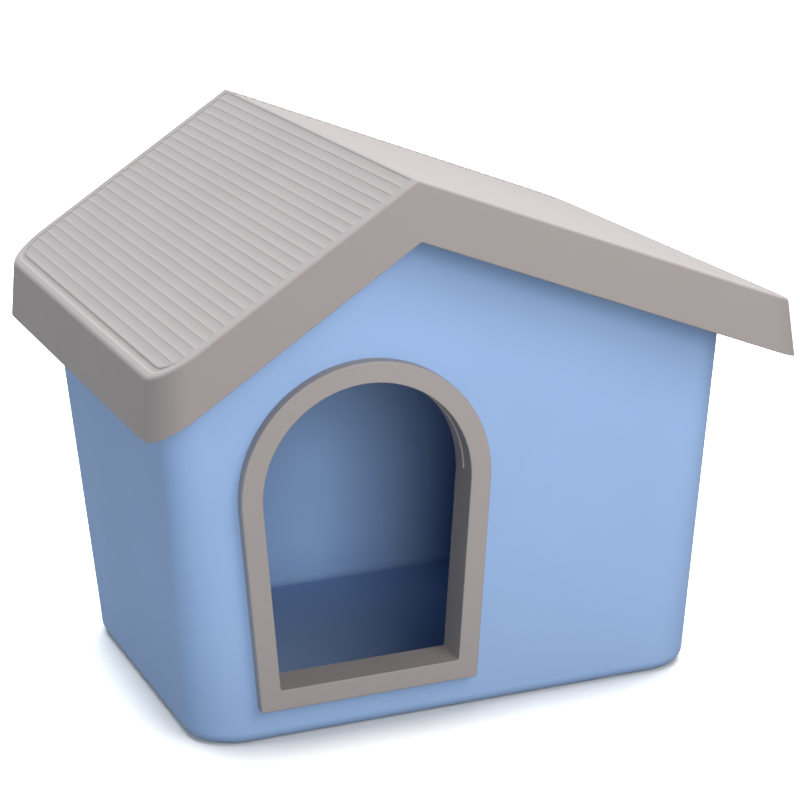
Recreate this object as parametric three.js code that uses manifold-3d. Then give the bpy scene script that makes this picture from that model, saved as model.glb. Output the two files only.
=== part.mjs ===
// A small moulded kennel: a drafted one-piece tub, a saltbox roof that lifts off,
// and an arched surround that snaps into the doorway. Millimetres, +Z up, front towards -Y,
// origin under the middle of the roof at floor level.

import * as THREE from 'three';
import { mergeVertices } from 'three/addons/utils/BufferGeometryUtils.js';
import Module from 'manifold-3d';

const wasm = await Module();
wasm.setup();
const { Manifold } = wasm;

// ---- driving dimensions -------------------------------------------------------------------

// tub
const baseWidth = 416.2; // outside, at the floor
const baseDepth = 308.4;
const sideDraft = 0.06; // how far a side wall leans out per unit of height
const gableDraft = 0.052; // the same for the gable walls
const cornerRadius = 41.5; // upright corners in plan, at the floor
const cornerTaper = 0.063; // how much tighter they get per unit of height
const tubPlace = [-5.1, 3.5]; // middle of the tub in plan; it isn't centred under the roof
const bottomRound = 10; // edge between the walls and the underside
const tubWall = 3;
const footWidth = 14; // flat rim that the tub stands on
const footHeight = 2; // recess inside that rim
const floorThickness = 3;

// roof
const eaveHeight = 307.5; // upper edge of both eaves
const roofRise = 124.1; // eave to ridge
const ridgeShift = -55.2; // the ridge is off centre, so one slope is steeper
const sideOverhang = 25.4; // mean of both side walls, at eave height
const gableOverhang = 50.7; // mean of both gable walls, at eave height
const roofCorner = 30.2;
const fasciaDrop = 43.2;
const sideFlare = 4; // how far the fascia leans out over its drop
const gableFlare = 3.8;
const fasciaWall = 2.6;
const slopeWall = 4; // measured straight down
const edgeRound = 2;
const ridgeRound = 2.5;
const ridgeLap = 0.05; // of one half over the other, inside the ridge

// slatted field on each slope; distances to the ridge and the eave run along the slope
const panelRim = 5.3; // plain border of the roof
const panelRecess = 0.2; // of all that lies inside that border
const ridgeCap = 1.5; // plain strip beside the ridge
const eaveMargin = 12.2; // from the last slat's lower edge to the eave
const gableMargin = 10.4; // from the slats' ends to the gable edges
const fieldCorner = 20; // corners of the field at the eave
const slatPitch = 8.85;
const slatStep = 0.9; // from one slat's lower edge down to the next slat
const slatCorner = 1.5;
const grooveDepth = 1.1; // below the last slat's lower edge
const toolLap = 0.05; // between cuts that meet

// locating tongues under the roof, inside the tub's rim
const tongueDrop = 18;
const tongueWall = 2.6;
const tongueLength = 60;
const sideTonguePlace = 85; // from the middle, along the side walls
const gableTonguePlace = 105; // from the middle, along the gable walls
const tongueClearance = 0.6;

// door surround
const doorPlace = -80.1; // arch centre, left of the roof's middle
const doorRadius = 81.8; // clear arch
const doorTaper = 0.069; // how far each jamb leans in per unit of height
const springHeight = 194.8; // arch centre above the floor
const sillHeight = 44.8;
const surroundWidth = 16.4; // face of the surround
const surroundProud = 9.6; // in front of the wall
const surroundWall = 2.6;
const sleeveDepth = 30.8; // from the face to the inner end
const faceRound = 1.4;
const jambCorner = 2; // corners beside the sill
const archRibHeight = 1.1; // raised rib round the inside of the arch
const archRibStart = 14.5; // behind the face
const archRibEnd = 23.5;
const archRibFoot = 0.4; // the arch stays that much thicker behind the rib
const hookLength = 14;
const hookHeight = 1.6;
const hookRun = 8;
const jambHookShares = [0.3, 0.8]; // of the way from the spring down to the sill
const archHookShare = 0.25; // of the half turn, from each side

const seatGap = 0.3; // between pieces that touch
const sleeveClearance = 0.3; // round the sleeve in its hole

// facets
const cornerSteps = 10; // per quarter turn of an upright corner
const roundSteps = 4; // per quarter turn of a small edge
const archSteps = 48; // per half turn of the arch
const faceRoundSteps = 3;
const mergeWithin = 1e-5;

// ---- sizes that follow --------------------------------------------------------------------

const ridgeHeight = eaveHeight + roofRise;
const halfWidth = (z) => baseWidth / 2 + sideDraft * z;
const halfDepth = (z) => baseDepth / 2 + gableDraft * z;
const cornerAt = (z) => cornerRadius - cornerTaper * z;
const roofHalfWidth = halfWidth(eaveHeight) + sideOverhang;
const roofHalfDepth = halfDepth(eaveHeight) + gableOverhang;
const slopes = [
  { side: -1, run: roofHalfWidth + ridgeShift },
  { side: 1, run: roofHalfWidth - ridgeShift },
];
for (const slope of slopes) {
  slope.pitch = roofRise / slope.run;
  slope.level = Math.cos(Math.atan(slope.pitch)); // plan length per length along the slope
}
const slopeHeight = (x) => {
  const slope = slopes[x < ridgeShift ? 0 : 1];
  return ridgeHeight - Math.abs(x - ridgeShift) * slope.pitch;
};
const floorTop = footHeight + floorThickness;
const leanAngle = Math.atan(gableDraft);
const taperAngle = Math.atan(doorTaper);
const farReach = 2 * (roofHalfWidth + ridgeHeight); // past the whole object

// ---- making and joining solids ------------------------------------------------------------

function toSolid(geometry) {
  const bare = geometry.clone();
  bare.deleteAttribute('normal');
  bare.deleteAttribute('uv');
  const merged = mergeVertices(bare, mergeWithin);
  return new Manifold(new wasm.Mesh({
    numProp: 3,
    vertProperties: new Float32Array(merged.attributes.position.array),
    triVerts: new Uint32Array(merged.index.array),
  }));
}

function toMesh(name, solid, material) {
  const { vertProperties, triVerts } = solid.getMesh();
  const geometry = new THREE.BufferGeometry();
  geometry.setAttribute('position', new THREE.BufferAttribute(vertProperties, 3));
  geometry.setIndex(new THREE.BufferAttribute(triVerts, 1));
  geometry.computeVertexNormals();
  const mesh = new THREE.Mesh(geometry, material);
  mesh.name = name;
  return mesh;
}

const join = (solids) => Manifold.union(solids);

function box(lowX, highX, lowY, highY, lowZ, highZ) {
  const geometry = new THREE.BoxGeometry(highX - lowX, highY - lowY, highZ - lowZ);
  geometry.translate((lowX + highX) / 2, (lowY + highY) / 2, (lowZ + highZ) / 2);
  return toSolid(geometry);
}

// A prism of a shape in plan, from one height to another.
function prism(shape, lowZ, highZ, curveSegments = roundSteps) {
  const geometry = new THREE.ExtrudeGeometry(shape, {
    depth: highZ - lowZ, bevelEnabled: false, curveSegments,
  });
  return toSolid(geometry.translate(0, 0, lowZ));
}

// A prism of an x-z profile, centred on y = 0.
function profilePrism(points, length) {
  const geometry = new THREE.ExtrudeGeometry(new THREE.Shape(points), {
    depth: length, bevelEnabled: false,
  });
  geometry.rotateX(Math.PI / 2);
  return toSolid(geometry.translate(0, length / 2, 0));
}

function rectangleRing({ halfX, halfY, radius, z }) {
  const ring = [];
  const corners = [[1, 1], [-1, 1], [-1, -1], [1, -1]];
  corners.forEach(([signX, signY], quarter) => {
    for (let step = 0; step <= cornerSteps; step += 1) {
      const angle = (quarter + step / cornerSteps) * Math.PI / 2;
      ring.push(new THREE.Vector3(
        signX * (halfX - radius) + radius * Math.cos(angle),
        signY * (halfY - radius) + radius * Math.sin(angle),
        z,
      ));
    }
  });
  return ring;
}

// A closed skin over a stack of rounded rectangles, lowest first.
function loft(sections) {
  const rings = sections.map(rectangleRing);
  const count = rings[0].length;
  const last = (rings.length - 1) * count;
  const index = [];
  for (let level = 0; level < last; level += count) {
    for (let i = 0; i < count; i += 1) {
      const next = (i + 1) % count;
      index.push(level + i, level + next, level + count + next);
      index.push(level + i, level + count + next, level + count + i);
    }
  }
  for (let i = 1; i < count - 1; i += 1) {
    index.push(0, i + 1, i);
    index.push(last, last + i, last + i + 1);
  }
  const geometry = new THREE.BufferGeometry().setFromPoints(rings.flat());
  geometry.setIndex(index);
  return toSolid(geometry);
}

// The space between two surfaces that run parallel to the slopes.
function underSlopes(topOffset, bottomOffset) {
  const places = [-roofHalfWidth, ridgeShift, roofHalfWidth];
  const upper = places.map((x) => new THREE.Vector2(x, slopeHeight(x) + topOffset));
  const lower = places.map((x) => new THREE.Vector2(x, slopeHeight(x) + bottomOffset));
  return profilePrism([...lower, ...upper.reverse()], farReach);
}

// ---- tub ----------------------------------------------------------------------------------

// The tub's own form, moved in by an inset, standing on a given height.
function tubForm(inset, bottom, round) {
  const sections = [];
  for (let step = 0; step <= roundSteps; step += 1) {
    const angle = (step / roundSteps) * Math.PI / 2;
    const tuck = inset + round * (1 - Math.sin(angle));
    const z = bottom + round * (1 - Math.cos(angle));
    sections.push({
      halfX: halfWidth(z) - tuck, halfY: halfDepth(z) - tuck, radius: cornerAt(z) - tuck, z,
    });
  }
  sections.push({
    halfX: halfWidth(ridgeHeight) - inset,
    halfY: halfDepth(ridgeHeight) - inset,
    radius: cornerAt(ridgeHeight) - inset,
    z: ridgeHeight,
  });
  return loft(sections).translate([...tubPlace, 0]);
}

function footRecess() {
  const inset = bottomRound + footWidth;
  const section = {
    halfX: baseWidth / 2 - inset,
    halfY: baseDepth / 2 - inset,
    radius: cornerRadius - bottomRound,
  };
  return loft([{ ...section, z: -footHeight }, { ...section, z: footHeight }])
    .translate([...tubPlace, 0]);
}

function makeTub() {
  const shell = tubForm(0, 0, bottomRound)
    .subtract(tubForm(tubWall, floorTop, bottomRound - tubWall));
  const belowRoof = underSlopes(-slopeWall - seatGap, -farReach);
  const sleeveHole = archPrism(
    surroundWall + sleeveClearance, -sleeveDepth, surroundProud,
  ).transform(doorMatrix.elements);
  return shell.intersect(belowRoof).subtract(footRecess()).subtract(sleeveHole);
}

// ---- roof ---------------------------------------------------------------------------------

// The roof is shaped flat, with its ridge on x = 0 and its upper face on z = 0, and each
// half is then sheared to its slope. So the fascia's lower edge follows the slopes.
const flatMiddle = -ridgeShift;

function flatSection(z, inset) {
  const flareShare = -z / fasciaDrop;
  return {
    halfX: roofHalfWidth + sideFlare * flareShare - inset,
    halfY: roofHalfDepth + gableFlare * flareShare - inset,
    radius: roofCorner - inset,
    z,
  };
}

function flatShell() {
  const outer = [flatSection(-fasciaDrop, 0)];
  for (let step = 0; step <= roundSteps; step += 1) {
    const angle = (step / roundSteps) * Math.PI / 2;
    const z = edgeRound * (Math.sin(angle) - 1);
    outer.push(flatSection(z, edgeRound * (1 - Math.cos(angle))));
  }
  const inner = [
    flatSection(-fasciaDrop - slopeWall, fasciaWall),
    flatSection(-slopeWall, fasciaWall),
  ];
  return loft(outer).subtract(loft(inner)).translate([flatMiddle, 0, 0]);
}

// A rectangle in plan from the ridge side to the eave side of one slope, with its own
// corner radius at each side.
function panelShape(side, nearX, farX, halfY, nearRadius, farRadius) {
  const shape = new THREE.Shape();
  shape.moveTo(side * nearX, halfY - nearRadius);
  shape.lineTo(side * nearX, -halfY + nearRadius);
  shape.quadraticCurveTo(side * nearX, -halfY, side * (nearX + nearRadius), -halfY);
  shape.lineTo(side * (farX - farRadius), -halfY);
  roundCorner(shape, side, farX - farRadius, -halfY + farRadius, farRadius, -1);
  shape.lineTo(side * farX, halfY - farRadius);
  roundCorner(shape, side, farX - farRadius, halfY - farRadius, farRadius, 1);
  shape.lineTo(side * (nearX + nearRadius), halfY);
  shape.quadraticCurveTo(side * nearX, halfY, side * nearX, halfY - nearRadius);
  return shape;
}

function roundCorner(shape, side, centreX, centreY, radius, half) {
  for (let step = 1; radius > 0 && step < cornerSteps; step += 1) {
    const turn = (step / cornerSteps) * Math.PI / 2;
    const angle = half < 0 ? turn - Math.PI / 2 : turn;
    shape.lineTo(
      side * (centreX + radius * Math.cos(angle)),
      centreY + radius * Math.sin(angle),
    );
  }
}

// The slatted field of one slope: where it lies in plan, and the spacing of its slats.
function slatField({ side, run, level }) {
  const near = ridgeCap * level;
  const far = run - eaveMargin * level;
  const halfY = roofHalfDepth - gableMargin;
  const count = Math.round((far - near) / level / slatPitch);
  return { side, near, far, halfY, count, spacing: (far - near) / count };
}

// What is cut away above one slat: most along its upper edge, nothing at its lower edge.
function slatCut({ side, halfY }, nearX, farX) {
  const shape = panelShape(side, nearX, farX + toolLap, halfY, slatCorner, 0);
  const geometry = new THREE.ExtrudeGeometry(shape, {
    depth: 1, bevelEnabled: false, curveSegments: roundSteps,
  });
  const { position } = geometry.attributes;
  for (let i = 0; i < position.count; i += 1) {
    const share = (side * position.getX(i) - nearX) / (farX - nearX);
    const bottom = -panelRecess - slatStep * Math.max(1 - share, 0);
    position.setZ(i, position.getZ(i) > 0.5 ? slopeWall : bottom);
  }
  return toSolid(geometry);
}

function slatCuts(field) {
  const cuts = [];
  for (let n = 0; n < field.count; n += 1) {
    const nearX = field.near + n * field.spacing;
    cuts.push(slatCut(field, nearX, nearX + field.spacing));
  }
  const { side, near, far, halfY } = field;
  const outline = panelShape(side, near, far, halfY, 0, fieldCorner);
  return join(cuts).intersect(prism(outline, -slopeWall, slopeWall));
}

// The groove below the last slat, which fades out round the field's corners.
function eaveGroove({ side, far, halfY }, panelFar) {
  const profile = new THREE.Shape([
    new THREE.Vector2(far - fieldCorner, -panelRecess),
    new THREE.Vector2(far, -panelRecess - grooveDepth),
    new THREE.Vector2(panelFar, -panelRecess),
    new THREE.Vector2(panelFar, slopeWall),
    new THREE.Vector2(far - fieldCorner, slopeWall),
  ].map((point) => new THREE.Vector2(side * point.x, point.y)));
  const geometry = new THREE.ExtrudeGeometry(profile, {
    depth: 2 * roofHalfDepth, bevelEnabled: false,
  });
  geometry.rotateX(Math.PI / 2);
  const inside = panelShape(
    side, -farReach, far - toolLap, halfY - toolLap, 0, fieldCorner - toolLap,
  );
  return toSolid(geometry.translate(0, roofHalfDepth, 0))
    .subtract(prism(inside, -slopeWall, 2 * slopeWall));
}

// All that is cut into one slope: the recess inside the border, the slats and the groove.
function panelCut(slope) {
  const { side, run, level } = slope;
  const field = slatField(slope);
  const panelFar = run - panelRim * level;
  const outline = panelShape(
    side, field.near, panelFar, roofHalfDepth - panelRim, 0, roofCorner - panelRim,
  );
  return prism(outline, -slopeWall, slopeWall).intersect(join([
    prism(outline, -panelRecess, 2 * slopeWall), slatCuts(field), eaveGroove(field, panelFar),
  ]));
}

// The halves lap a little, so that they join along the ridge.
function shearHalf(flat, { side, pitch }) {
  const [lowX, highX] = side < 0 ? [-farReach, ridgeLap] : [-ridgeLap, farReach];
  const half = flat.intersect(box(lowX, highX, -farReach, farReach, -farReach, farReach));
  const fall = -side * pitch;
  return half.transform([1, 0, fall, 0, 0, 1, 0, 0, 0, 0, 1, 0, 0, 0, 0, 1]);
}

// What a rounded ridge takes off the sharp one.
function ridgeWaste() {
  const [left, right] = slopes.map(({ pitch }) => Math.atan(pitch));
  const spread = (left + right) / 2;
  const tilt = (right - left) / 2;
  const drop = ridgeRound / Math.cos(spread);
  const centre = new THREE.Vector2(
    ridgeShift - drop * Math.sin(tilt), ridgeHeight - drop * Math.cos(tilt),
  );
  const points = [];
  for (let step = 0; step <= 2 * roundSteps; step += 1) {
    const angle = -left + (left + right) * (step / (2 * roundSteps));
    points.push(new THREE.Vector2(
      centre.x + ridgeRound * Math.sin(angle), centre.y + ridgeRound * Math.cos(angle),
    ));
  }
  const above = ridgeHeight + ridgeRound;
  points.push(new THREE.Vector2(points[points.length - 1].x, above));
  points.push(new THREE.Vector2(points[0].x, above));
  return profilePrism(points.reverse(), farReach);
}

// Tongues that drop inside the rim and keep the roof from sliding about.
function tongues() {
  const outside = tubWall + tongueClearance;
  const ring = tubForm(outside, floorTop, bottomRound - tubWall)
    .subtract(tubForm(outside + tongueWall, -floorTop, bottomRound - tubWall));
  const half = tongueLength / 2;
  const windows = [];
  for (const end of [-1, 1]) {
    const y = end * sideTonguePlace;
    const x = end * gableTonguePlace;
    windows.push(box(-farReach, farReach, y - half, y + half, 0, farReach));
    windows.push(box(x - half, x + half, -farReach, farReach, 0, farReach));
  }
  return ring
    .intersect(underSlopes(-slopeWall / 2, -slopeWall - tongueDrop))
    .intersect(join(windows));
}

function makeRoof() {
  let flat = flatShell();
  for (const slope of slopes) {
    flat = flat.subtract(panelCut(slope));
  }
  const sheared = join(slopes.map((slope) => shearHalf(flat, slope)));
  return sheared
    .translate([ridgeShift, 0, ridgeHeight])
    .subtract(ridgeWaste())
    .add(tongues());
}

// ---- door surround ------------------------------------------------------------------------

// The surround is drawn on the front wall: x across, y up the wall from the arch's centre
// and z out of the wall.
const doorPlacement = new THREE.Object3D();
doorPlacement.position.set(doorPlace, tubPlace[1] - halfDepth(springHeight), springHeight);
doorPlacement.rotation.x = Math.PI / 2 + leanAngle;
doorPlacement.updateMatrix();
const doorMatrix = doorPlacement.matrix;

// The arch and its tapering jambs, moved out from the clear opening by an offset.
function archShape(offset) {
  const radius = doorRadius + offset;
  const bottom = sillHeight - springHeight - offset;
  const jambX = (radius + bottom * Math.sin(taperAngle)) / Math.cos(taperAngle);
  const shape = new THREE.Shape();
  shape.moveTo(jambX - jambCorner, bottom);
  shape.quadraticCurveTo(jambX, bottom, jambX + jambCorner * doorTaper, bottom + jambCorner);
  for (let step = 0; step <= archSteps; step += 1) {
    const angle = -taperAngle + (Math.PI + 2 * taperAngle) * (step / archSteps);
    shape.lineTo(radius * Math.cos(angle), radius * Math.sin(angle));
  }
  shape.lineTo(-jambX - jambCorner * doorTaper, bottom + jambCorner);
  shape.quadraticCurveTo(-jambX, bottom, -jambX + jambCorner, bottom);
  return shape;
}

function archPrism(offset, low, high) {
  return prism(archShape(offset), low, high);
}

// The face has a small round along its outer edge.
function surroundFace() {
  const geometry = new THREE.ExtrudeGeometry(archShape(surroundWidth - faceRound), {
    depth: surroundProud - faceRound,
    bevelThickness: faceRound,
    bevelSize: faceRound,
    bevelSegments: faceRoundSteps,
    curveSegments: roundSteps,
  });
  const room = archShape(surroundWidth);
  return toSolid(geometry).intersect(prism(room, seatGap, surroundProud));
}

// A ramp that springs out behind the wall, with its steep side towards the wall.
function hook(x, y, angle) {
  const front = -tubWall * Math.cos(leanAngle) - seatGap;
  const root = -surroundWall / 2;
  const shape = new THREE.Shape([
    new THREE.Vector2(root, front),
    new THREE.Vector2(root, front - hookRun),
    new THREE.Vector2(0, front - hookRun),
    new THREE.Vector2(sleeveClearance + hookHeight, front - hookHeight / 2),
    new THREE.Vector2(sleeveClearance + hookHeight, front),
  ]);
  const geometry = new THREE.ExtrudeGeometry(shape, { depth: hookLength, bevelEnabled: false });
  geometry.translate(0, 0, -hookLength / 2);
  geometry.rotateX(Math.PI / 2);
  geometry.rotateZ(angle);
  return toSolid(geometry.translate(x, y, 0));
}

function hooks() {
  const radius = doorRadius + surroundWall;
  const sill = sillHeight - springHeight;
  const made = [];
  for (const side of [0, 1]) {
    const outward = side ? Math.PI + taperAngle : -taperAngle;
    for (const share of jambHookShares) {
      const along = sill * share;
      const reach = radius / Math.cos(taperAngle) + along * doorTaper;
      made.push(hook(side ? -reach : reach, along, outward));
    }
    const archAngle = Math.PI * (side ? 1 - archHookShare : archHookShare);
    made.push(hook(radius * Math.cos(archAngle), radius * Math.sin(archAngle), archAngle));
    const sillPlace = (side ? -1 : 1) * (doorRadius / 2);
    made.push(hook(sillPlace, sill - surroundWall, -Math.PI / 2));
  }
  return join(made);
}

// A half ring round the inside of the arch, of a given height, between two depths behind the face.
function archBand(height, start, end) {
  const shape = new THREE.Shape();
  shape.absarc(0, 0, doorRadius + surroundWall / 2, 0, Math.PI, false);
  shape.absarc(0, 0, doorRadius - height, Math.PI, 0, true);
  return prism(shape, surroundProud - end, surroundProud - start, archSteps);
}

function makeSurround() {
  const back = surroundProud - sleeveDepth;
  const sleeve = archPrism(surroundWall, back, surroundProud - faceRound);
  const channel = archPrism(surroundWidth - surroundWall, back, surroundProud - surroundWall)
    .subtract(archPrism(surroundWall, back, surroundProud));
  return surroundFace()
    .subtract(channel)
    .add(sleeve)
    .subtract(archPrism(0, back - seatGap, surroundProud + seatGap))
    .add(archBand(archRibHeight, archRibStart, archRibEnd))
    .add(archBand(archRibFoot, archRibStart, sleeveDepth))
    .add(hooks());
}

// ---- materials and assembly ---------------------------------------------------------------

const plastic = (color, roughness) => new THREE.MeshStandardMaterial({
  color, roughness, metalness: 0,
});

const kennel = new THREE.Group();
kennel.name = 'kennel';

kennel.add(toMesh('tub', makeTub(), plastic(0x8fb0e2, 0.42)));
kennel.add(toMesh('roof', makeRoof(), plastic(0xb2a9a7, 0.5)));

const surround = toMesh('door_surround', makeSurround(), plastic(0xa79c98, 0.45));
surround.position.copy(doorPlacement.position);
surround.rotation.copy(doorPlacement.rotation);
kennel.add(surround);

export default kennel;
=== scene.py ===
# %% [markdown]
# This lesson builds a small kennel moulded in plastic. The real one has three pieces: a light
# blue tub with floor and walls in one, a warm grey roof that lies on the tub's rim and lifts
# off, and a warm grey surround that clips into the doorway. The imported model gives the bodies
# they ride on. All three are made again here, finer than the solids, at the same sizes and
# places.

# %% Load the frame
import math

import bmesh
import bpy
from mathutils import Matrix, Vector


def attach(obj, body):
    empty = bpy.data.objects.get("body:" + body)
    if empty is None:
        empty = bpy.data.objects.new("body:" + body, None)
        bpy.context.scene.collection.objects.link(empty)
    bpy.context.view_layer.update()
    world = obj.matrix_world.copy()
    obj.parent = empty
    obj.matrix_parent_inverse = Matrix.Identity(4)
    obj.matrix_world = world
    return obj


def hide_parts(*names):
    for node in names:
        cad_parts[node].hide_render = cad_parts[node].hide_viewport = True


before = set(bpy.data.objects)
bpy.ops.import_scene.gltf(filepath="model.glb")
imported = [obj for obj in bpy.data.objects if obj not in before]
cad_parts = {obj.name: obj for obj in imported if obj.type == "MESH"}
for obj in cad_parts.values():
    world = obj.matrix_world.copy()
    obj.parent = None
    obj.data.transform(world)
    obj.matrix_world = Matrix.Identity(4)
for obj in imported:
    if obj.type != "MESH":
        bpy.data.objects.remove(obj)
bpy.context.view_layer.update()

# %% [markdown]
# The camera comes first, so that every later step can be looked at as in the photograph. Its
# place and turn were found by fitting the house's straight edges. A camera can be aimed with a
# constraint, but a fitted one is better built from its angles: the way it faces gives its back
# axis, the level line its right axis, and a small roll turns both.

# %% Camera
CAMERA_PLACE = (-0.70412, -1.86377, 0.78963)
CAMERA_AZIMUTH, CAMERA_ELEVATION, CAMERA_ROLL = map(math.radians, (-21.004, 16.296, -1.526))
LENS, SENSOR = 116.39, 36


def camera_turn(azimuth, elevation, roll):
    """The rotation of a camera that looks along an azimuth, down by an elevation."""
    back = Vector((
        math.sin(azimuth) * math.cos(elevation),
        -math.cos(azimuth) * math.cos(elevation),
        math.sin(elevation),
    ))
    right = Vector((math.cos(azimuth), math.sin(azimuth), 0))
    up = back.cross(right)
    axes = Matrix((right, up, back)).transposed()
    return axes @ Matrix.Rotation(roll, 3, "Z")


camera = bpy.data.objects.new("camera", bpy.data.cameras.new("camera"))
camera.matrix_world = Matrix.Translation(CAMERA_PLACE) @ camera_turn(
    CAMERA_AZIMUTH, CAMERA_ELEVATION, CAMERA_ROLL
).to_4x4()
camera.data.lens, camera.data.sensor_width = LENS, SENSOR
bpy.context.collection.objects.link(camera)
bpy.context.scene.camera = camera
axes = camera.matrix_world.to_3x3().transposed()
print("camera axes", [[round(c, 4) for c in axis] for axis in axes])

# %% [markdown]
# A moulding like this is all smooth skins between known sections, so the meshes are written
# out row by row: a row of points, then the next one, and quads between them. Sculpting or a
# subdivided box could give the same look, but rows keep every size exact, and the sizes are
# written in millimetres as on a drawing. Booleans are kept for the few real cut-outs.

# %% Rows and skins
MM = 0.001


def add_row(mesh, points):
    """Adds a row of vertices. Points are in millimetres."""
    return [mesh.verts.new(Vector(point) * MM) for point in points]


def skin(mesh, first, second, closed=True):
    """Joins two rows of the same length with quads."""
    count = len(first)
    for i in range(count if closed else count - 1):
        j = (i + 1) % count
        mesh.faces.new((first[i], first[j], second[j], second[i]))


def skin_all(mesh, rows, closed=True):
    for first, second in zip(rows, rows[1:]):
        skin(mesh, first, second, closed)


def quarter_round(steps):
    """Cosine and sine pairs that turn from 0 to 90 degrees."""
    for step in range(steps + 1):
        angle = step / steps * math.pi / 2
        yield math.cos(angle), math.sin(angle)


def cast(mesh, name):
    """Turns finished mesh code into an object."""
    bmesh.ops.remove_doubles(mesh, verts=mesh.verts, dist=0.002 * MM)
    bmesh.ops.recalc_face_normals(mesh, faces=mesh.faces)
    data = bpy.data.meshes.new(name)
    mesh.to_mesh(data)
    mesh.free()
    piece = bpy.data.objects.new(name, data)
    bpy.context.collection.objects.link(piece)
    return piece


def carve(piece, tool, operation):
    """Applies one boolean with another object, which is then thrown away."""
    cut = piece.modifiers.new("carve", "BOOLEAN")
    cut.operation, cut.solver, cut.object = operation, "EXACT", tool
    evaluated = piece.evaluated_get(bpy.context.evaluated_depsgraph_get())
    data = bpy.data.meshes.new_from_object(evaluated)
    piece.modifiers.clear()
    piece.data = data
    bpy.data.objects.remove(tool)


def smooth_off(piece, sharp_from=38):
    """Smooths the small rounds, keeps corners sharp and flat faces flat."""
    piece.data.shade_smooth()
    piece.data.set_sharp_from_angle(angle=math.radians(sharp_from))
    weighted = piece.modifiers.new("flat faces stay flat", "WEIGHTED_NORMAL")
    weighted.keep_sharp = True
    check = bmesh.new()
    check.from_mesh(piece.data)
    open_edges = sum(1 for edge in check.edges if not edge.is_manifold)
    volume = check.calc_volume() / MM ** 3
    check.free()
    size = [round(side / MM, 1) for side in piece.dimensions]
    print(piece.name, len(piece.data.polygons), "faces,", open_edges, "open edges,",
          round(volume / 1000), "cm3, size", size)


# %% [markdown]
# The roof decides how high the tub's walls may rise, so its main sizes come before both. The
# ridge is off centre: the left slope is short and steep, the right one long and flat. Along
# the ridge the two meet in a narrow round, here a small parabola that leaves each slope at
# its own pitch.

# %% Roof slopes
RIDGE_HEIGHT, RIDGE_X = 431.6, -55.2
ROOF_RISE = 124.1
ROOF_HALF_WIDTH, ROOF_HALF_DEPTH = 251.95, 220.88
RUN = {-1: ROOF_HALF_WIDTH + RIDGE_X, 1: ROOF_HALF_WIDTH - RIDGE_X}
PITCH = {side: ROOF_RISE / run for side, run in RUN.items()}
LEVEL = {side: math.cos(math.atan(pitch)) for side, pitch in PITCH.items()}
RIDGE_ROUND = 1.3
SLOPE_WALL, SEAT_GAP = 4, 0.3


def crown(x):
    """Height of the slopes relative to the sharp ridge, x from the ridge."""
    if x <= -RIDGE_ROUND:
        return PITCH[-1] * x
    if x >= RIDGE_ROUND:
        return -PITCH[1] * x
    bend = (PITCH[-1] + PITCH[1]) / 4
    return (PITCH[-1] - PITCH[1]) / 2 * x - bend * (RIDGE_ROUND + x * x / RIDGE_ROUND)


print("slopes", {side: round(math.degrees(math.atan(p)), 1) for side, p in PITCH.items()},
      "ridge top", round(RIDGE_HEIGHT + crown(0), 2))

# %% [markdown]
# The tub is a thin shell whose walls lean out as they rise, so that it leaves its mould and
# stacks. Its outline is a rounded rectangle at every height, so each point of the outline
# runs up a straight line, here called a column. One profile (underside, foot rim, bottom
# round, wall, rim, inside, floor) is walked along every column, and the upper ends stop just
# under the roof. A box with bevels wouldn't lean, and its corners wouldn't get tighter with
# height, as these do.

# %% Tub columns
BASE_WIDTH, BASE_DEPTH = 416.2, 308.4
TUB_X, TUB_Y = -5.1, 3.5
SIDE_DRAFT, GABLE_DRAFT = 0.06, 0.052
CORNER_RADIUS, CORNER_TAPER, CORNER_STEPS = 41.5, 0.063, 18
TUB_WALL, BOTTOM_ROUND = 3, 10
FOOT_WIDTH, FOOT_HEIGHT, FLOOR_TOP = 14, 2, 5
RIM_ROUND = 1.1


def tub_columns(inset):
    """Where each column of the outline meets the floor, and how it leans, for one inset."""
    radius = CORNER_RADIUS - inset
    reach_x, reach_y = BASE_WIDTH / 2 - CORNER_RADIUS, BASE_DEPTH / 2 - CORNER_RADIUS
    columns = []
    for quarter, (side_x, side_y) in enumerate(((1, 1), (-1, 1), (-1, -1), (1, -1))):
        for step in range(CORNER_STEPS + 1):
            angle = (quarter + step / CORNER_STEPS) * math.pi / 2
            c, s = math.cos(angle), math.sin(angle)
            columns.append((
                TUB_X + side_x * reach_x + radius * c, TUB_Y + side_y * reach_y + radius * s,
                side_x * (SIDE_DRAFT + CORNER_TAPER) - CORNER_TAPER * c,
                side_y * (GABLE_DRAFT + CORNER_TAPER) - CORNER_TAPER * s,
            ))
        if quarter in (0, 2):
            gable_y = TUB_Y + side_y * (BASE_DEPTH / 2 - inset)
            columns.append((RIDGE_X, gable_y, 0, side_y * GABLE_DRAFT))
    return columns


def height_under(drop, x, lean_x):
    """How high a leaning column is where it comes within a drop of the slopes."""
    side = -1 if x < RIDGE_X else 1
    straight_up = RIDGE_HEIGHT - drop - abs(x - RIDGE_X) * PITCH[side]
    return straight_up / (1 + side * lean_x * PITCH[side])


def tub_row(inset, height=None, below_rim=0):
    points = []
    for x, y, lean_x, lean_y in tub_columns(inset):
        z = height
        if height is None:
            z = height_under(SLOPE_WALL + SEAT_GAP, x, lean_x) - below_rim
        points.append((x + z * lean_x, y + z * lean_y, z))
    return points


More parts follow.
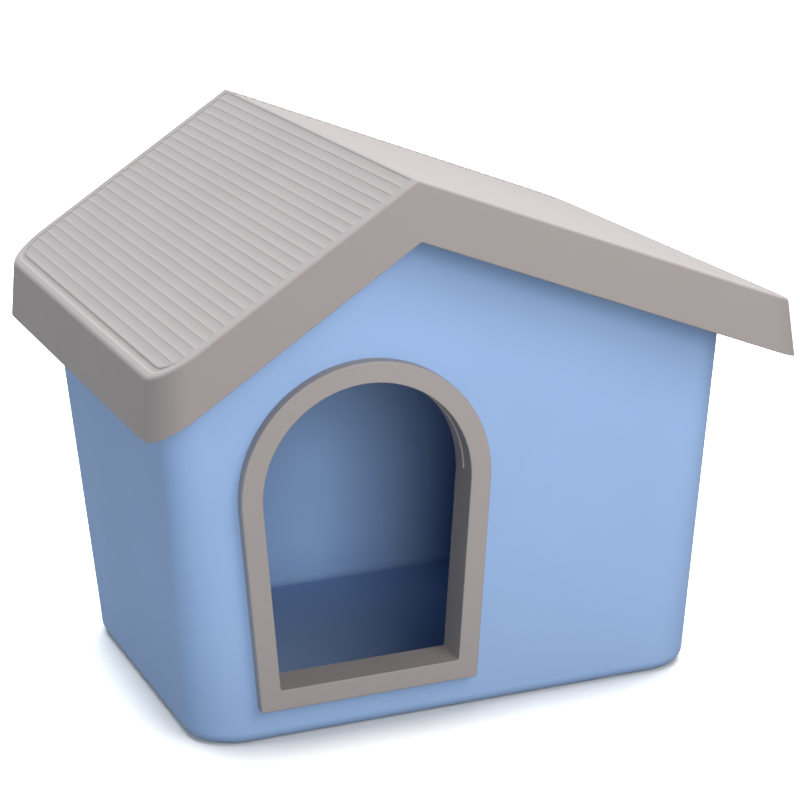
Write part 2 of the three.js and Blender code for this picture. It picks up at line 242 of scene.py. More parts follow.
foot_inner = BOTTOM_ROUND + FOOT_WIDTH
inner_round = BOTTOM_ROUND - TUB_WALL
profile = [
    tub_row(foot_inner + 1, FOOT_HEIGHT), tub_row(foot_inner + 0.3, FOOT_HEIGHT - 0.3),
    tub_row(foot_inner, 0.5), tub_row(foot_inner - 0.4, 0),
]
for c, s in quarter_round(8):
    profile.append(tub_row(BOTTOM_ROUND * (1 - s), BOTTOM_ROUND * (1 - c)))
for c, s in quarter_round(4):
    profile.append(tub_row(RIM_ROUND * (1 - c), below_rim=RIM_ROUND * (1 - s)))
for c, s in quarter_round(4):
    profile.append(tub_row(TUB_WALL - RIM_ROUND * (1 - s), below_rim=RIM_ROUND * (1 - c)))
for c, s in quarter_round(6):
    profile.append(tub_row(TUB_WALL + inner_round * (1 - c), FLOOR_TOP + inner_round * (1 - s)))

tub_mesh = bmesh.new()
rows = [add_row(tub_mesh, points) for points in profile]
skin_all(tub_mesh, rows)
tub_mesh.faces.new(rows[0])
tub_mesh.faces.new(rows[-1])
tub = cast(tub_mesh, "tub_shell")
rim = [z for _, _, z in tub_row(TUB_WALL / 2)]
print("tub rim from", round(min(rim), 1), "to", round(max(rim), 1))

# %% [markdown]
# The doorway is an arch on two jambs that lean in towards the sill. It is drawn once, as a
# contour on the front wall, and every part of the surround is this contour moved outwards by
# an offset. That keeps the clear opening, the face and the hole in the tub exactly parallel.
# The wall leans, so the drawing is turned with it.

# %% Doorway contour
DOOR_RADIUS, DOOR_TAPER = 81.8, math.atan(0.069)
SPRING_HEIGHT, SILL_HEIGHT = 194.8, 44.8
FACE_WIDTH, FACE_PROUD, SURROUND_WALL = 16.4, 9.6, 2.6
SLEEVE_DEPTH, SLEEVE_CLEARANCE = 30.8, 0.3
JAMB_CORNER, ARCH_STEPS, JAMB_CORNER_STEPS = 2, 96, 6
DOOR_X, DOOR_Y = -80.1, TUB_Y - (BASE_DEPTH / 2 + GABLE_DRAFT * SPRING_HEIGHT)
door_place = Matrix.Translation((DOOR_X, DOOR_Y, SPRING_HEIGHT)) @ Matrix.Rotation(
    math.pi / 2 + math.atan(GABLE_DRAFT), 4, "X"
)


def door_contour(offset):
    """The opening's outline on the wall, anticlockwise from the sill's right end."""
    radius = DOOR_RADIUS + offset
    bottom = SILL_HEIGHT - SPRING_HEIGHT - offset
    jamb = (radius + bottom * math.sin(DOOR_TAPER)) / math.cos(DOOR_TAPER)
    corner = []
    for step in range(JAMB_CORNER_STEPS + 1):
        t = step / JAMB_CORNER_STEPS
        slant = JAMB_CORNER * math.tan(DOOR_TAPER)
        corner.append((
            jamb - JAMB_CORNER * (1 - t) ** 2 + slant * t * t, bottom + JAMB_CORNER * t * t,
        ))
    arch = []
    for step in range(ARCH_STEPS + 1):
        angle = -DOOR_TAPER + (math.pi + 2 * DOOR_TAPER) * step / ARCH_STEPS
        arch.append((radius * math.cos(angle), radius * math.sin(angle)))
    return corner + arch + [(-x, y) for x, y in reversed(corner)]


def on_wall(points, depth):
    """Takes contour points to the front wall; depth is out of the wall."""
    return [door_place @ Vector((x, y, depth)) for x, y in points]


hole = bmesh.new()
hole_contour = door_contour(SURROUND_WALL + SLEEVE_CLEARANCE)
hole_rows = [add_row(hole, on_wall(hole_contour, depth)) for depth in (-SLEEVE_DEPTH, SLEEVE_DEPTH)]
skin_all(hole, hole_rows)
for end in hole_rows:
    hole.faces.new(end)
carve(tub, cast(hole, "doorway_tool"), "DIFFERENCE")
smooth_off(tub)

# %% [markdown]
# The surround is one hollow moulding: a face frame that stands proud of the wall, open at its
# back like a channel, and a sleeve that goes through the wall and on into the cabin. Its
# section is walked round the doorway contour, so one short list of offset and depth pairs
# makes the whole ring. The edges you see are rounded, because they catch the light.

# %% Door surround
EDGE_OUTER, EDGE_INNER = 1.5, 0.9
face_back = FACE_PROUD - SLEEVE_DEPTH
section = [(0, face_back + 0.5)]
for c, s in quarter_round(4):
    section.append((EDGE_INNER * (1 - c), FACE_PROUD - EDGE_INNER * (1 - s)))
for c, s in quarter_round(6):
    section.append((FACE_WIDTH - EDGE_OUTER * (1 - s), FACE_PROUD - EDGE_OUTER * (1 - c)))
section += [
    (FACE_WIDTH, SEAT_GAP + 0.3), (FACE_WIDTH - 0.3, SEAT_GAP),
    (FACE_WIDTH - SURROUND_WALL, SEAT_GAP),
    (FACE_WIDTH - SURROUND_WALL, FACE_PROUD - SURROUND_WALL - 1),
    (FACE_WIDTH - SURROUND_WALL - 1, FACE_PROUD - SURROUND_WALL),
    (SURROUND_WALL + 1, FACE_PROUD - SURROUND_WALL),
    (SURROUND_WALL, FACE_PROUD - SURROUND_WALL - 1),
    (SURROUND_WALL, face_back + 0.5), (SURROUND_WALL - 0.5, face_back), (0.5, face_back),
]
surround_mesh = bmesh.new()
rows = [add_row(surround_mesh, on_wall(door_contour(offset), depth)) for offset, depth in section]
skin_all(surround_mesh, rows + rows[:1])
surround = cast(surround_mesh, "surround_ring")

# %% [markdown]
# Inside the arch a raised rib runs from jamb to jamb, where a door flap could be hung, and
# the sleeve stays a little thicker behind it. Snap hooks on the sleeve's outer side catch
# behind the wall. Both are small solids that sink into the sleeve, joined to it with one
# boolean each, so that no faces are left inside the plastic.

# %% Rib and hooks
RIB_HEIGHT, RIB_START, RIB_END, RIB_FOOT = 1.1, 14.5, 23.5, 0.4
HOOK_LENGTH, HOOK_HEIGHT, HOOK_RUN = 14, 1.6, 8


def arch_band(mesh, section_points):
    """Sweeps a closed section of (height, depth behind the face) round the upper arch."""
    arcs = []
    for height, behind in section_points:
        radius = DOOR_RADIUS - height
        arc = []
        for step in range(ARCH_STEPS + 1):
            angle = math.pi * step / ARCH_STEPS
            arc.append((radius * math.cos(angle), radius * math.sin(angle)))
        arcs.append(add_row(mesh, on_wall(arc, FACE_PROUD - behind)))
    skin_all(mesh, arcs + arcs[:1], closed=False)
    mesh.faces.new([arc[0] for arc in arcs])
    mesh.faces.new([arc[-1] for arc in arcs])


band_mesh = bmesh.new()
sunk = -SURROUND_WALL / 2
arch_band(band_mesh, [
    (sunk, RIB_START), (RIB_HEIGHT - 0.5, RIB_START), (RIB_HEIGHT - 0.15, RIB_START + 0.15),
    (RIB_HEIGHT, RIB_START + 0.5), (RIB_HEIGHT, RIB_END - 0.4), (RIB_HEIGHT - 0.3, RIB_END),
    (RIB_FOOT, RIB_END + 0.3), (RIB_FOOT, SLEEVE_DEPTH - 0.4), (sunk, SLEEVE_DEPTH - 0.4),
])
carve(surround, cast(band_mesh, "rib_tool"), "UNION")


def add_hook(mesh, x, y, angle):
    """A ramp behind the wall, steep towards the wall, that points along an angle."""
    front = -TUB_WALL - SEAT_GAP
    reach = SLEEVE_CLEARANCE + HOOK_HEIGHT
    ramp = [
        (sunk, front), (sunk, front - HOOK_RUN), (0.3, front - HOOK_RUN),
        (reach, front - HOOK_HEIGHT), (reach, front - 0.3), (reach - 0.3, front),
    ]
    out = Vector((math.cos(angle), math.sin(angle)))
    along = Vector((-math.sin(angle), math.cos(angle)))
    ends = []
    for half in (-HOOK_LENGTH / 2, HOOK_LENGTH / 2):
        row = []
        for rise, depth in ramp:
            spot = Vector((x, y)) + out * rise + along * half
            row.append(door_place @ Vector((spot.x, spot.y, depth)))
        ends.append(add_row(mesh, row))
        mesh.faces.new(ends[-1])
    skin_all(mesh, ends)


hook_mesh = bmesh.new()
sleeve_radius = DOOR_RADIUS + SURROUND_WALL
sill_y = SILL_HEIGHT - SPRING_HEIGHT
for mirror in (1, -1):
    for share in (0.3, 0.8):
        jamb_x = sleeve_radius / math.cos(DOOR_TAPER) + share * sill_y * math.tan(DOOR_TAPER)
        turn = -DOOR_TAPER if mirror > 0 else math.pi + DOOR_TAPER
        add_hook(hook_mesh, mirror * jamb_x, share * sill_y, turn)
    turn = math.pi / 2 - mirror * math.pi / 4
    add_hook(hook_mesh, sleeve_radius * math.cos(turn), sleeve_radius * math.sin(turn), turn)
    add_hook(hook_mesh, mirror * DOOR_RADIUS / 2, sill_y - SURROUND_WALL, -math.pi / 2)
carve(surround, cast(hook_mesh, "hook_tool"), "UNION")
smooth_off(surround)

# %% [markdown]
# The roof is one moulding: two slopes, a fascia all round that hangs down and leans out a
# little, and rounded corners. It is thought of as flat first, with its outline as a rounded
# rectangle, and each point is then lowered by the slopes' height at its place. The fascia's
# lower edge follows the slopes by itself that way, as on the real one.

# %% Roof outline
ROOF_CORNER, ROOF_CORNER_STEPS = 30.2, 18
FASCIA_DROP, FASCIA_WALL = 43.2, 2.6
SIDE_FLARE, GABLE_FLARE = 4, 3.8
RIDGE_STEPS = 6
ridge_xs = [RIDGE_ROUND * (2 * step / RIDGE_STEPS - 1) for step in range(RIDGE_STEPS + 1)]


def roof_point(x, y, rise):
    """A point of the roof, x from the ridge, rise above or below the slopes."""
    return (RIDGE_X + x, y, RIDGE_HEIGHT + crown(x) + rise)


def roof_row(inset, drop):
    """The roof's outline, moved in by an inset and lowered by a drop."""
    share = drop / FASCIA_DROP
    reach = {side: run + SIDE_FLARE * share - inset for side, run in RUN.items()}
    half = ROOF_HALF_DEPTH + GABLE_FLARE * share - inset
    radius = ROOF_CORNER - inset
    points = []
    for quarter, (side_x, side_y) in enumerate(((1, 1), (-1, 1), (-1, -1), (1, -1))):
        for step in range(ROOF_CORNER_STEPS + 1):
            angle = (quarter + step / ROOF_CORNER_STEPS) * math.pi / 2
            points.append((
                side_x * (reach[side_x] - radius) + radius * math.cos(angle),
                side_y * (half - radius) + radius * math.sin(angle),
            ))
        if quarter in (0, 2):
            points += [(-side_y * x, side_y * half) for x in ridge_xs]
    return [roof_point(x, y, -drop) for x, y in points]


EDGE_ROUND, LIP_ROUND, INSIDE_ROUND = 2, 0.9, 2.5
roof_profile = []
for c, s in quarter_round(4):
    roof_profile.append((FASCIA_WALL + INSIDE_ROUND * (1 - s), SLOPE_WALL + INSIDE_ROUND * (1 - c)))
for c, s in quarter_round(3):
    roof_profile.append((FASCIA_WALL - LIP_ROUND * (1 - c), FASCIA_DROP - LIP_ROUND * (1 - s)))
for c, s in quarter_round(3):
    roof_profile.append((LIP_ROUND * (1 - s), FASCIA_DROP - LIP_ROUND * (1 - c)))
for c, s in quarter_round(6):
    roof_profile.append((EDGE_ROUND * (1 - c), EDGE_ROUND * (1 - s)))

roof_mesh = bmesh.new()
rows = [add_row(roof_mesh, roof_row(inset, drop)) for inset, drop in roof_profile]
skin_all(roof_mesh, rows)
under, top = rows[0], rows[-1]
print("roof outline", len(top), "points,", len(rows), "rows")

# %% [markdown]
# Each slope carries a sunk panel with a slatted field. Its outline is the roof's outline again,
# smaller and with tighter corners. For every distance from the ridge there is one point on the
# panel's edge and one on the field's edge, so that rings between the two stay even. A groove
# runs along the eave between them and fades out round the corners.

# %% Panel and field outlines
PANEL_RIM, PANEL_RECESS, RIM_SLOPE = 5.3, 0.2, 0.25
EAVE_MARGIN, GABLE_MARGIN, FIELD_CORNER = 12.2, 10.4, 20
GROOVE_DEPTH, LIP = 1.3, 0.75
PANEL_HALF = ROOF_HALF_DEPTH - PANEL_RIM
PANEL_CORNER = ROOF_CORNER - PANEL_RIM
FIELD_HALF = ROOF_HALF_DEPTH - GABLE_MARGIN
NEAR = RIDGE_ROUND + RIM_SLOPE + 0.15
NEAR_GROWTH = 0.12  # beside the ridge there's little room for the field's lip
FAR = {side: RUN[side] - EAVE_MARGIN * LEVEL[side] for side in RUN}


def round_the_corner(side, u):
    """Sine and cosine of the corner's turn at a distance u from the ridge."""
    sine = min(max((u - FAR[side]) / FIELD_CORNER + 1, 0), 1)
    return sine, math.sqrt(1 - sine * sine)


def field_spot(side, u, grow=0):
    """The point of the field's outline at u, moved outwards by grow."""
    sine, cosine = round_the_corner(side, u)
    turn = FAR[side] - FIELD_CORNER
    ridge_side = NEAR_GROWTH * grow if u == NEAR else 0
    return (min(u, turn) - ridge_side + (FIELD_CORNER + grow) * sine,
            FIELD_HALF - FIELD_CORNER + (FIELD_CORNER + grow) * cosine)


def panel_spot(side, u, grow=0):
    """The point of the panel's outline that belongs to u."""
    sine, cosine = round_the_corner(side, u)
    field_turn = FAR[side] - FIELD_CORNER
    panel_turn = RUN[side] - PANEL_RIM * LEVEL[side] - PANEL_CORNER
    start = RIDGE_ROUND + RIM_SLOPE - grow
    share = (min(u, field_turn) - NEAR) / (field_turn - NEAR)
    return (start + share * (panel_turn - start) + (PANEL_CORNER + grow) * sine,
            PANEL_HALF - PANEL_CORNER + (PANEL_CORNER + grow) * cosine)


print("field ends", {side: round(far, 1) for side, far in FAR.items()},
      "half length", round(FIELD_HALF, 1))

# %% [markdown]
# Seen close, a slat is a shallow scoop: it starts a third of a millimetre below the slat above
# it, dips as much again, and rises in a soft curve until its lower edge is level with the plain
# strip beside it. So it is dark at its top and light at its lower edge, with hardly a line
# between. Its upper corners are rounded and its lower edge is a narrow nose. Modelling it as
# hollows in the slope, and not as boards laid on top, gives the same soft bands of light as in
# the photograph.

# %% Rows of one slat
SLAT_PITCH, SLAT_STEP, SLAT_CORNER, SLAT_DIP = 8.85, 0.3, 1.5, 5
SLAT_SHARES = (0.28, 0.4, 0.52, 0.64, 0.76, 0.88)
NOSE = ((0.3, 0.03), (0.1, 0.06), (0, 0.14))


def slats_of(side):
    """Where each slat starts and ends, in plan from the ridge."""
    count = round((FAR[side] - NEAR) / LEVEL[side] / SLAT_PITCH)
    step = (FAR[side] - NEAR) / count
    return [(NEAR + n * step, NEAR + (n + 1) * step) for n in range(count)]


def scoop(share):
    """Depth of a slat at a share of its width, from its top to its lower edge."""
    return SLAT_STEP * (1 + SLAT_DIP * share - (1 + SLAT_DIP) * share * share)


def slat_rows(side, start, end):
    """Each row's distance from the ridge, half length and depth."""
    length = end - start
    corner_half = field_spot(side, start + SLAT_CORNER)[1]
    rows = []
    for c, s in quarter_round(4):
        rows.append((SLAT_CORNER * (1 - c), corner_half - SLAT_CORNER * (1 - s)))
    for share in SLAT_SHARES:
        rows.append((length * share, field_spot(side, start + length * share)[1]))
    rows = [(start + along, half, scoop(along / length)) for along, half in rows]
    if end == FAR[side]:
        return rows + [(end, field_spot(side, end)[1], 0)]
    return rows + [
        (end - before, field_spot(side, end - before)[1], depth) for before, depth in NOSE
    ]


print("slats", {side: len(slats_of(side)) for side in RUN})

# %% [markdown]
# The faces of a slat are its floor strips, two end walls, the two small corners that its rounded
# ends leave, and the step below the slat above. They are set down one by one, and the weld in
# `cast` joins them where their corners meet.

# %% Slat faces


def patch(mesh, side, *spots):
    """One face from spots of the slope: distance from the ridge, place along it, rise."""
    mesh.faces.new(add_row(mesh, [roof_point(side * u, v, rise) for u, v, rise in spots]))


def add_slat(mesh, side, start, end):
    rows = slat_rows(side, start, end)
    _, last_half, last_depth = rows[-1]
    level = -PANEL_RECESS
    floor = level - SLAT_STEP
    step_half = rows[0][1]
    if start == NEAR:
        patch(mesh, side, (start, step_half, level), (start, -step_half, level),
              (start, -step_half, floor), (start, step_half, floor))
    for (u0, half0, depth0), (u1, half1, depth1) in zip(rows, rows[1:]):
        strip = [(u0, half0, level - depth0), (u1, half1, level - depth1),
                 (u1, -half1, level - depth1), (u0, -half0, level - depth0)]
        if u1 == end and end != FAR[side]:
            below = slat_rows(side, end, 2 * end - start)[0][1]
            strip[2:2] = [(u1, below, level - depth1), (u1, -below, level - depth1)]
            patch(mesh, side, (end, below, level - depth1), (end, -below, level - depth1),
                  (end, -below, floor), (end, below, floor))
        patch(mesh, side, *strip)
    for way in (1, -1):
        for (u0, half0, depth0), (u1, half1, depth1) in zip(rows, rows[1:]):
            wall = [(u0, way * half0, level), (u1, way * half1, level),
                    (u1, way * half1, level - depth1), (u0, way * half0, level - depth0)]
            if u0 == start and start != NEAR:
                wall.append((u0, way * half0, level - NOSE[-1][1]))
            patch(mesh, side, *wall)
        corner = [(u, way * half, level) for u, half, _ in rows[:5]]
        patch(mesh, side, (start, way * field_spot(side, start)[1], level), *corner)
        if end != FAR[side]:
            patch(mesh, side, (end, way * last_half, level),
                  (end, way * last_half, level - last_depth),
                  (end, way * below, level - last_depth), (end, way * below, level))


for side in RUN:
    for start, end in slats_of(side):
        add_slat(roof_mesh, side, start, end)

# %% [markdown]
# Rings lead from the plain border down into the panel, along the groove's hollow floor, up the
# small wall round the slats and onto the lip that frames them.

# %% Rings round the slats
rings = [("edge", 0, 0), ("panel", 0, 0)]
for share, fall in ((0.08, 0.17), (0.18, 0.4), (0.3, 0.64), (0.42, 0.84), (0.54, 0.97),
                    (0.66, 1), (0.78, 0.97), (0.9, 0.86), (1, 0.72)):
    rings.append(("groove", share, fall))
rings += [("wall", 0.7, 0.3), ("wall", 0.45, 0.04), ("wall", 0, 0)]


def ring_point(side, u, kind, amount, fall):
    sine, _ = round_the_corner(side, u)
    rise = -PANEL_RECESS - GROOVE_DEPTH * sine ** 2 * fall
    if kind == "edge":
        return (*panel_spot(side, u, RIM_SLOPE), 0)
    if kind == "wall":
        return (*field_spot(side, u, amount), rise)
    outer, inner = panel_spot(side, u), field_spot(side, u, LIP)
    return (*(a + (b - a) * amount for a, b in zip(outer, inner)), rise)


border_rings = {}
for side in RUN:
    stations = [NEAR]
    for start, end in slats_of(side):
        stations += [u for u, _, _ in slat_rows(side, start, end)[4:]]
    ridge_half = slat_rows(side, *slats_of(side)[0])[0][1]
    rows = []
    for ring in rings:
        right = [ring_point(side, u, *ring) for u in stations]
        right.insert(0, (right[0][0], ridge_half, right[0][2]))
        spots = right + [(u, -v, rise) for u, v, rise in reversed(right)]
        rows.append(add_row(roof_mesh, [roof_point(side * u, v, rise) for u, v, rise in spots]))
    skin_all(roof_mesh, rows)
    border_rings[side] = rows[0]
print("ring points", {side: len(ring) for side, ring in border_rings.items()})

# %% [markdown]
# What is left are flat faces: the plain border round each panel, the underside of each slope,
# and the narrow strips along the ridge. The border is one face with many corners, shaped like
# a bracket that opens to the ridge.

# %% Borders, ridge and underside
corner_points = ROOF_CORNER_STEPS + 1
ridge_back = range(corner_points, corner_points + RIDGE_STEPS + 1)
ridge_front = range(3 * corner_points + RIDGE_STEPS + 1, 3 * corner_points + 2 * (RIDGE_STEPS + 1))


def halves(row):
    """An outline row split at the ridge, each half from one gable to the other."""
    left = row[ridge_back[-1]:ridge_front[0] + 1]
    right = row[ridge_front[-1]:] + row[:ridge_back[0] + 1]
    return {-1: left, 1: right}


for half in halves(under).values():
    roof_mesh.faces.new(half)
top_halves = halves(top)
roof_mesh.faces.new(top_halves[-1] + border_rings[-1][-2:0:-1])
roof_mesh.faces.new(top_halves[1] + border_rings[1][1:-1])
for row in (under, top):
    back, front = [row[i] for i in ridge_back], [row[i] for i in reversed(ridge_front)]
    for i in range(RIDGE_STEPS):
        face = [back[i], front[i], front[i + 1], back[i + 1]]
        if row is top and i == 0:
            ring = border_rings[1]
            face[1:1] = [ring[1], ring[0], ring[-1], ring[-2]]
        if row is top and i == RIDGE_STEPS - 1:
            ring = border_rings[-1]
            face[-1:-1] = [ring[-2], ring[-1], ring[0], ring[1]]
        roof_mesh.faces.new(face)
roof = cast(roof_mesh, "roof_shell")

# %% [markdown]
# Under the roof, eight short tongues reach down just inside the tub's walls and keep the roof
# from sliding off. Nobody sees them until the roof is lifted, but they are why it stays on.
# Each follows the lean of its wall and tapers at its end, and is joined to the roof.

# %% Tongues
TONGUE_DROP, TONGUE_WALL, TONGUE_LENGTH, TONGUE_CLEARANCE = 18, 2.6, 60, 0.6
SIDE_TONGUE_PLACE, GABLE_TONGUE_PLACE = 85, 105


def add_tongue(mesh, on_side_wall, way, place):
    """One tongue beside a wall; its section is a rectangle that tapers at the end."""
    outer = TUB_WALL + TONGUE_CLEARANCE
    inner = outer + TONGUE_WALL
    full = SLOPE_WALL + TONGUE_DROP
    rows = []
    for drop, taper in ((SLOPE_WALL / 2, 0), (full - 1.2, 0), (full - 0.3, 0.25), (full, 0.7)):
        half = TONGUE_LENGTH / 2 - taper
        row = []
        for inset, along in ((outer + taper, -half), (outer + taper, half),
                             (inner - taper, half), (inner - taper, -half)):
            if on_side_wall:
                x, y = TUB_X + way * (BASE_WIDTH / 2 - inset), place + along
                z = height_under(drop, x, way * SIDE_DRAFT)
                row.append((x + way * z * SIDE_DRAFT, y, z))
            else:
                x, y = place + along, TUB_Y + way * (BASE_DEPTH / 2 - inset)
                z = height_under(drop, x, 0)
                row.append((x, y + way * z * GABLE_DRAFT, z))
        rows.append(add_row(mesh, row))
    skin_all(mesh, rows)
    mesh.faces.new(rows[0])
    mesh.faces.new(rows[-1])


tongue_mesh = bmesh.new()
for way in (1, -1):
    for end in (1, -1):
        add_tongue(tongue_mesh, True, way, end * SIDE_TONGUE_PLACE)
        add_tongue(tongue_mesh, False, way, end * GABLE_TONGUE_PLACE)
carve(roof, cast(tongue_mesh, "tongue_tool"), "UNION")
smooth_off(roof)

# %% [markdown]
# All three mouldings are polypropylene: soft satin, never mirror-like, with a very fine grain
# from the mould's surface and a slight cloudiness in the colour. A flat colour would look like
# paper, so each finish mixes two near shades in large clouds, lets the roughness wander a
# little, and adds the grain as bump. The patterns are made from object coordinates, so their
# scale is real.

# %% Moulded plastic finish
PLASTIC_IOR = 1.49
SMOOTHER, ROUGHER = 0.05, 0.07  # how far the roughness wanders either way
PIT_DEPTH = 0.0001  # metres


def node(tree, kind, place, **values):
    made = tree.nodes.new(kind)
    made.location = place
    for socket, value in values.items():
        made.inputs[socket.replace("_", " ")].default_value = value
    return made


def moulded_plastic(name, colour, sheen, cloud_shade, roughness, grain):
    """A satin plastic. Colour is linear, sheen is how much it mirrors, and cloud_shade is
    what its darker clouds keep of the colour."""
    finish = bpy.data.materials.new(name)
    finish.use_nodes = True
    tree = finish.node_tree
    link = tree.links.new
    shader = tree.nodes["Principled BSDF"]
    shader.inputs["IOR"].default_value = PLASTIC_IOR
    shader.inputs["Specular IOR Level"].default_value = sheen
    where = node(tree, "ShaderNodeTexCoord", (-1000, 0))
    clouds = node(tree, "ShaderNodeTexNoise", (-800, 200), Scale=7, Detail=3, Roughness=0.5)
    link(where.outputs["Object"], clouds.inputs["Vector"])
    shades = tree.nodes.new("ShaderNodeValToRGB")
    shades.location = (-550, 200)
    low, high = shades.color_ramp.elements
    low.position, high.position = 0.32, 0.68
    low.color = (*(c * cloud_shade for c in colour), 1)
    high.color = (*colour, 1)
    link(clouds.outputs["Fac"], shades.inputs["Fac"])
    link(shades.outputs["Color"], shader.inputs["Base Color"])
    specks = node(tree, "ShaderNodeTexNoise", (-800, -100), Scale=55, Detail=4, Roughness=0.6)
    link(where.outputs["Object"], specks.inputs["Vector"])
    wander = node(tree, "ShaderNodeMapRange", (-550, -100))
    wander.inputs["To Min"].default_value = roughness - SMOOTHER
    wander.inputs["To Max"].default_value = roughness + ROUGHER
    link(specks.outputs["Fac"], wander.inputs["Value"])
    link(wander.outputs["Result"], shader.inputs["Roughness"])
    pits = node(tree, "ShaderNodeTexNoise", (-800, -400), Scale=1400, Detail=2, Roughness=0.5)
    link(where.outputs["Object"], pits.inputs["Vector"])
    bump = node(tree, "ShaderNodeBump", (-550, -400), Strength=grain, Distance=PIT_DEPTH)
    link(pits.outputs["Fac"], bump.inputs["Height"])
    link(bump.outputs["Normal"], shader.inputs["Normal"])
    return finish


TUB_BLUE = (0.322, 0.468, 0.748)
ROOF_GREY = (0.312, 0.277, 0.269)
SURROUND_GREY = (0.362, 0.325, 0.32)
finishes = {
    "tub_plastic": moulded_plastic(
        "light blue polypropylene", TUB_BLUE,
        sheen=0.08, cloud_shade=0.955, roughness=0.48, grain=0.35),
    "roof_plastic": moulded_plastic(
        "warm grey polypropylene", ROOF_GREY,
        sheen=0.13, cloud_shade=0.965, roughness=0.42, grain=0.3),
    "surround_plastic": moulded_plastic(
        "smooth warm grey polypropylene", SURROUND_GREY,
        sheen=0.13, cloud_shade=0.97, roughness=0.38, grain=0.2),
}
print("finishes", sorted(finishes))

# %% [markdown]
# Each piece now gets its finish and rides on the body that it moves with: the surround is
# clipped into the tub, so both belong to the house, and the roof is on its own.

# %% Pieces on their bodies
for piece, body, cad_node, slot in (
    (tub, "house", "tub", "tub_plastic"),
    (surround, "house", "door_surround", "surround_plastic"),
    (roof, "roof", "roof", "roof_plastic"),
):
    piece.data.materials.clear()
    piece.data.materials.append(finishes[slot])
    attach(piece, body)
    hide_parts(cad_node)
    print(piece.name, "rides on", body)

# %% [markdown]
# The light can be read off the house. The slopes are the brightest, so a large soft light hangs
# high above it, a little to the back. The front is lit evenly, and more at its top than at its
# foot, so a softbox stands near the camera, a little higher. A patch of light on the cabin's
# back wall, moved to the right, comes through the doorway from low on the left. The left wall
# is half as bright as the front and cooler, so it has a weak light of its own. Suns with a wide
# angle do for the far lights, and a disc lamp for the near one, since only a near lamp fades
# over the length of a wall.

# %% Light
WARM, COOL, COOLER = (1, 0.96, 0.92), (0.91, 0.955, 1), (0.72, 0.88, 1)
FRONT_MIDDLE = Vector((0, -0.1, 0.2))  # metres


def aim(lamp, azimuth, elevation):
    """Turns a lamp to shine from an azimuth (0 is the front, positive to the right)."""
    azimuth, elevation = math.radians(azimuth), math.radians(elevation)
    source = Vector((
        math.sin(azimuth) * math.cos(elevation),
        -math.cos(azimuth) * math.cos(elevation),
        math.sin(elevation),
    ))
    lamp.rotation_euler = source.to_track_quat("Z", "Y").to_euler()
    bpy.context.collection.objects.link(lamp)
    return source


def add_sun(name, azimuth, elevation, strength, softness, colour, far=False):
    """A wide sun. A far one lights the plastic, but only the white room is mirrored in it."""
    lamp = bpy.data.objects.new(name, bpy.data.lights.new(name, "SUN"))
    lamp.data.energy, lamp.data.angle = strength, math.radians(softness)
    lamp.data.color = colour
    lamp.visible_glossy = not far
    aim(lamp, azimuth, elevation)


def add_softbox(name, azimuth, elevation, distance, size, power, colour):
    """A disc lamp that looks at the middle of the house's front."""
    lamp = bpy.data.objects.new(name, bpy.data.lights.new(name, "AREA"))
    lamp.data.shape, lamp.data.size, lamp.data.energy = "DISK", size, power
    lamp.data.color = colour
    lamp.location = FRONT_MIDDLE + distance * aim(lamp, azimuth, elevation)


add_sun("low front left", -11, 13, strength=1.52, softness=25, colour=(0.93, 0.985, 1))
add_softbox("above the camera", 16, 32, distance=1.1, size=0.8, power=5.9, colour=WARM)
add_sun("left", -96, 10, strength=0.84, softness=50, colour=COOLER, far=True)
add_sun("high behind right", 152, 68, strength=5.7, softness=60, colour=COOL, far=True)

# %% [markdown]
# The room round the house is plain white. Rays from the camera and rays mirrored in the plastic
# see it at a strength of one, which is white on the screen. Rays that carry light see only a
# faint glow there, so that the lamps decide how bright the plastic is.

# %% White room


def any_of(tree, *kinds):
    """1 for rays of any of these kinds, 0 for the others."""
    path = node(tree, "ShaderNodeLightPath", (-800, 300))
    chosen = path.outputs[kinds[0]]
    for kind in kinds[1:]:
        either = tree.nodes.new("ShaderNodeMath")
        either.operation = "MAXIMUM"
        tree.links.new(chosen, either.inputs[0])
        tree.links.new(path.outputs[kind], either.inputs[1])
        chosen = either.outputs[0]
    return chosen


def choose(tree, factor, otherwise, chosen):
    """Shows one shader where the factor is 1 and the other where it is 0."""
    choice = node(tree, "ShaderNodeMixShader", (0, 0))
    tree.links.new(factor, choice.inputs["Fac"])
    tree.links.new(otherwise.outputs[0], choice.inputs[1])
    tree.links.new(chosen.outputs[0], choice.inputs[2])
    return choice


FAINT_GLOW = 0.1
world = bpy.data.worlds.new("white room")
bpy.context.scene.world = world
world.use_nodes = True
tree = world.node_tree
tree.nodes.clear()
light = node(tree, "ShaderNodeBackground", (-300, 0), Color=(1, 1, 1, 1), Strength=FAINT_GLOW)
backdrop = node(tree, "ShaderNodeBackground", (-300, -200), Color=(1, 1, 1, 1), Strength=1)
seen = any_of(tree, "Is Camera Ray", "Is Glossy Ray", "Is Transmission Ray")
room = choose(tree, seen, light, backdrop)
world_end = node(tree, "ShaderNodeOutputWorld", (200, 0))
tree.links.new(room.outputs[0], world_end.inputs["Surface"])
print("world", world.name, len(tree.nodes), "nodes")
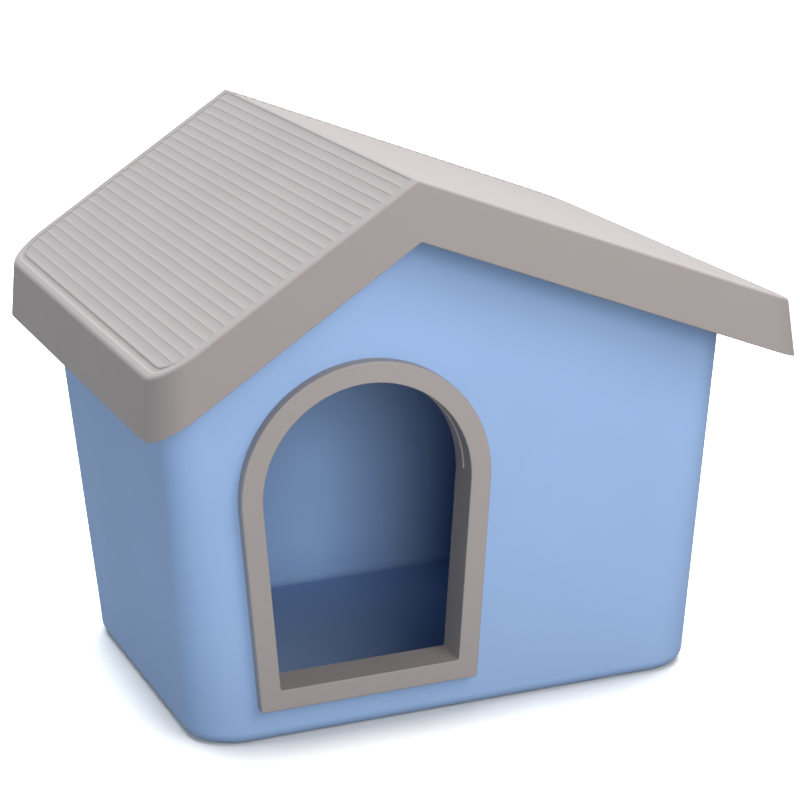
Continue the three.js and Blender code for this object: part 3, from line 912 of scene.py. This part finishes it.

# %% [markdown]
# The floor is white to the camera and keeps the house's real shadow. The high light throws a wide
# pale shadow to the front as well, so the camera sees the lit floor with some white of its own
# added.
# That white is held back by ambient occlusion where the house stands close above the floor, which
# paints a shadow there. So the narrow dark band along the foot is partly real shadow and partly
# painted shadow.
# For the light the floor is a mid grey, since a white one would throw too much light up under the
# eaves.

# %% Floor
FLOOR_REACH = 6000
FLOOR_FOR_LIGHT, FLOOR_FOR_CAMERA, FLOOR_MIRRORED = 0.2, 0.9, 0.6
# reach of the painted contact shadow, and the occlusion level at which the floor's own white is
# fully held back
PAINTED_SHADOW_REACH, PAINTED_SHADOW_FROM, OWN_WHITE = 0.055, 0.4, 0.66


def grey(level):
    return (level, level, level, 1)


floor_mesh = bmesh.new()
floor_mesh.faces.new(add_row(floor_mesh, [
    (x * FLOOR_REACH, y * FLOOR_REACH, 0) for x, y in ((-1, -1), (1, -1), (1, 1), (-1, 1))
]))
floor = cast(floor_mesh, "floor")
sheet = bpy.data.materials.new("pale floor")
sheet.use_nodes = True
tree = sheet.node_tree
tree.nodes.clear()
lit = node(tree, "ShaderNodeBsdfDiffuse", (-300, -200), Color=grey(FLOOR_FOR_LIGHT))
mirrored = node(tree, "ShaderNodeEmission", (-300, -350), Color=grey(1), Strength=FLOOR_MIRRORED)
for_light = choose(tree, any_of(tree, "Is Glossy Ray", "Is Transmission Ray"), lit, mirrored)
# painted shadow: ambient occlusion near the house dims the floor's own white along the house's foot
painted_shadow_ao = node(tree, "ShaderNodeAmbientOcclusion", (-900, 0), Distance=PAINTED_SHADOW_REACH)
painted_shadow_strength = node(tree, "ShaderNodeMapRange", (-700, 0))
painted_shadow_strength.inputs["From Min"].default_value = PAINTED_SHADOW_FROM
painted_shadow_strength.inputs["To Max"].default_value = OWN_WHITE
white_with_painted_shadow = node(tree, "ShaderNodeEmission", (-450, 0), Color=grey(1))
tree.links.new(painted_shadow_ao.outputs["AO"], painted_shadow_strength.inputs["Value"])
tree.links.new(painted_shadow_strength.outputs["Result"], white_with_painted_shadow.inputs["Strength"])
shown = node(tree, "ShaderNodeBsdfDiffuse", (-450, 150), Color=grey(FLOOR_FOR_CAMERA))
together = node(tree, "ShaderNodeAddShader", (-250, 100))
tree.links.new(shown.outputs[0], together.inputs[0])
tree.links.new(white_with_painted_shadow.outputs[0], together.inputs[1])
surface = choose(tree, any_of(tree, "Is Camera Ray"), for_light, together)
floor_end = node(tree, "ShaderNodeOutputMaterial", (200, 0))
tree.links.new(surface.outputs[0], floor_end.inputs["Surface"])
floor.data.materials.append(sheet)
print("floor", floor.dimensions[:])

# %% [markdown]
# Colours should leave the renderer as they were written, so the plain view transform is set.

# %% Finish
bpy.context.scene.view_settings.view_transform = "Standard"
